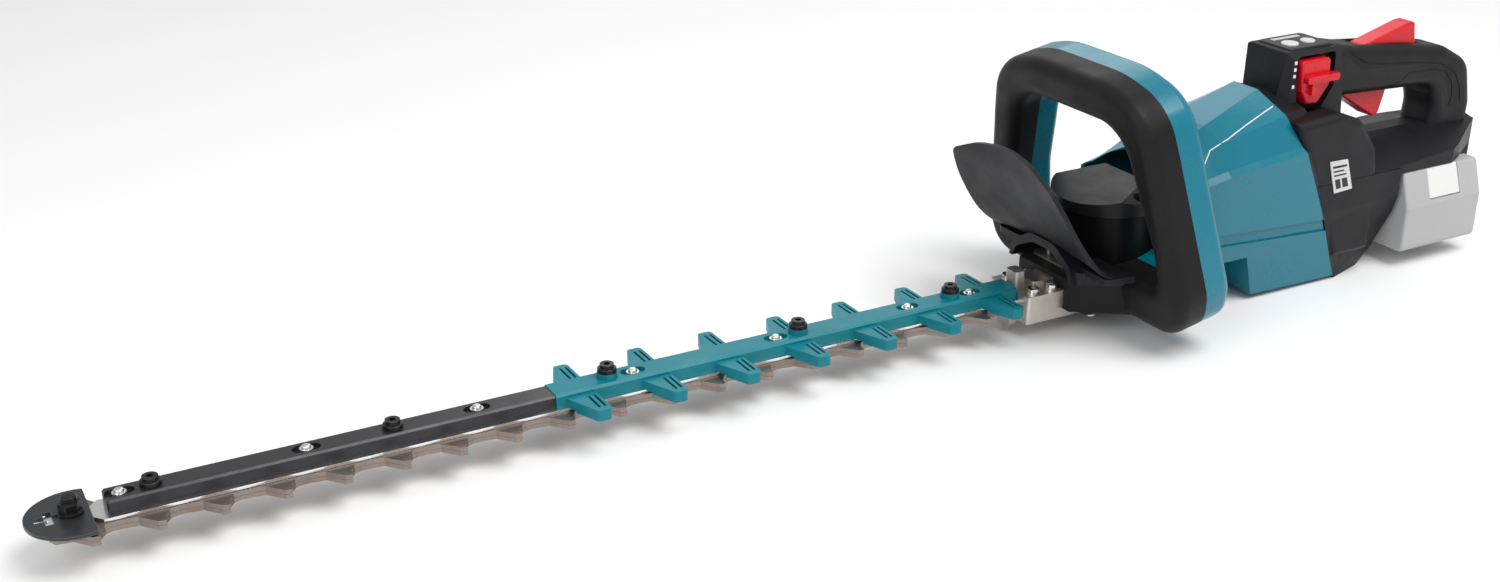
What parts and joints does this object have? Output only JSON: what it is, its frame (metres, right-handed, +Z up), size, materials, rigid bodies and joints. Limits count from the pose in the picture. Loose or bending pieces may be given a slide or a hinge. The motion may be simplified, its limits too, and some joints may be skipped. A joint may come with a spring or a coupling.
{
  "type": "hedge trimmer",
  "caption": "Cordless hedge trimmer with a double-sided toothed blade, a front loop handle with hand guard, and a swivelling rear D-handle over a slide-in battery.",
  "frame": {"origin": "middle of the underside of the bounding box", "axes": "+X towards the blade tip, +Y to the operator's left, +Z up with the blade level"},
  "size_m": [1.112, 0.2186, 0.1958],
  "materials": {
    "blade_steel": "ground, satin",
    "bright_steel": "bright",
    "black_bar": "satin",
    "guard_teal": "satin",
    "zinc": "zinc plated",
    "black_steel": "black oxide",
    "dark_plate": "satin",
    "cast_aluminium": "as cast",
    "black_plastic": "fine texture",
    "motor_black": "semi gloss",
    "motor_iron": "laminated",
    "soft_black": "matt elastomer",
    "teal_plastic": "glossy",
    "guard_black": "satin",
    "gear_steel": "ground",
    "rear_black": "fine texture",
    "panel_grey": "satin",
    "lens": "clear tinted",
    "board_green": "lacquered",
    "red_plastic": "glossy",
    "button_grey": "satin",
    "pack_grey": "satin",
    "pack_white": "satin"
  },
  "bodies": {
    "housing": {"guide_strip": "bright_steel", "guide_bar": "black_bar", "tooth_guard": "guard_teal", "bar_bolts": "zinc", "bar_nuts": "zinc", "bar_studs": "black_steel", "tip_plate": "dark_plate", "tip_bolt": "black_steel", "tip_nut": "zinc", "gear_case": "cast_aluminium", "case_cover": "black_plastic", "case_screws": "zinc", "clamp_screws": "zinc", "crank_bearing_lower": "bright_steel", "crank_bearing_upper": "bright_steel", "motor_case": "motor_black", "motor_stator": "motor_iron", "motor_bearing_lower": "bright_steel", "motor_bearing_upper": "bright_steel", "motor_cover": "black_plastic", "cover_screws": "black_steel", "front_handle": "soft_black", "front_handle_back": "teal_plastic", "front_switch": "black_plastic", "hand_guard": "guard_black", "front_housing_left": "teal_plastic", "front_housing_right": "teal_plastic", "front_housing_screws": "zinc", "swivel_index_ring": "bright_steel"},
    "upper_blade": {"upper_blade": "blade_steel"},
    "lower_blade": {"lower_blade": "blade_steel"},
    "crank": {"crank_gear": "gear_steel"},
    "rotor": {"motor_rotor": "motor_iron", "motor_shaft": "bright_steel", "motor_pinion": "gear_steel", "motor_fan": "black_plastic"},
    "front_switch_bar": {"front_switch_bar": "black_plastic"},
    "rear_handle": {"swivel_spigot": "black_plastic", "rear_housing_left": "rear_black", "rear_housing_right": "rear_black", "grip_skin": "soft_black", "rear_housing_screws": "zinc", "control_panel": "panel_grey", "indicator_lens": "lens", "trigger_pin": "bright_steel", "lock_off_pin": "bright_steel", "main_switch": "black_plastic", "controller": "board_green", "terminal_block": "black_plastic"},
    "swivel_lock": {"swivel_lock_lever": "red_plastic"},
    "power_button": {"power_button": "button_grey"},
    "speed_button": {"speed_button": "button_grey"},
    "trigger": {"trigger": "red_plastic"},
    "lock_off": {"lock_off_lever": "red_plastic"},
    "battery": {"battery_case": "pack_grey"},
    "battery_button": {"battery_button": "pack_white"}
  },
  "joints": [
    {"name": "upper_blade_slide", "type": "slide", "parent": "housing", "child": "upper_blade", "axis": [1, 0, 0], "range_m": [-0.00875, 0.00875]},
    {"name": "lower_blade_slide", "type": "slide", "parent": "housing", "child": "lower_blade", "axis": [1, 0, 0], "range_m": [-0.00875, 0.00875]},
    {"name": "rotor_spin", "type": "hinge", "parent": "housing", "child": "rotor", "pos_m": [-0.192, 0, 0.06], "axis": [0, 0, 1], "continuous": true},
    {"name": "crank_spin", "type": "hinge", "parent": "housing", "child": "crank", "pos_m": [-0.22, 0, 0.03], "axis": [0, 0, 1], "continuous": true},
    {"name": "front_switch_bar_press", "type": "slide", "parent": "housing", "child": "front_switch_bar", "axis": [0.9826, 0, -0.1857], "range_m": [0, 0.003], "stiffness_N_per_m": 400, "springref_m": -0.002},
    {"name": "rear_handle_swivel", "type": "hinge", "parent": "housing", "child": "rear_handle", "pos_m": [-0.353, 0, 0.075], "axis": [-0.9063, 0, 0.4226], "range_deg": [-90, 90]},
    {"name": "swivel_lock_slide", "type": "slide", "parent": "rear_handle", "child": "swivel_lock", "axis": [0, 0, 1], "range_m": [-0.008, 0]},
    {"name": "power_button_press", "type": "slide", "parent": "rear_handle", "child": "power_button", "axis": [0, 0, -1], "range_m": [0, 0.0012], "stiffness_N_per_m": 400, "springref_m": -0.002},
    {"name": "speed_button_press", "type": "slide", "parent": "rear_handle", "child": "speed_button", "axis": [0, 0, -1], "range_m": [0, 0.0012], "stiffness_N_per_m": 400, "springref_m": -0.002},
    {"name": "trigger_pull", "type": "hinge", "parent": "rear_handle", "child": "trigger", "pos_m": [-0.409, 0, 0.15], "axis": [0, 1, 0], "range_deg": [0, 9], "stiffness_Nm_per_rad": 0.3, "springref_deg": -11.46},
    {"name": "lock_off_press", "type": "hinge", "parent": "rear_handle", "child": "lock_off", "pos_m": [-0.427, 0, 0.163], "axis": [0, 1, 0], "range_deg": [-5.5, 0], "stiffness_Nm_per_rad": 0.3, "springref_deg": 11.46},
    {"name": "battery_slide", "type": "slide", "parent": "rear_handle", "child": "battery", "axis": [0, 1, 0], "range_m": [0, 0.1]},
    {"name": "battery_button_press", "type": "slide", "parent": "battery", "child": "battery_button", "axis": [0, -1, 0], "range_m": [0, 0.003], "stiffness_N_per_m": 400, "springref_m": -0.002}
  ],
  "couplings": [
    {"joint": "lower_blade_slide", "follows": "upper_blade_slide", "ratio": -1},
    {"joint": "crank_spin", "follows": "rotor_spin", "ratio": -0.33333}
  ]
}
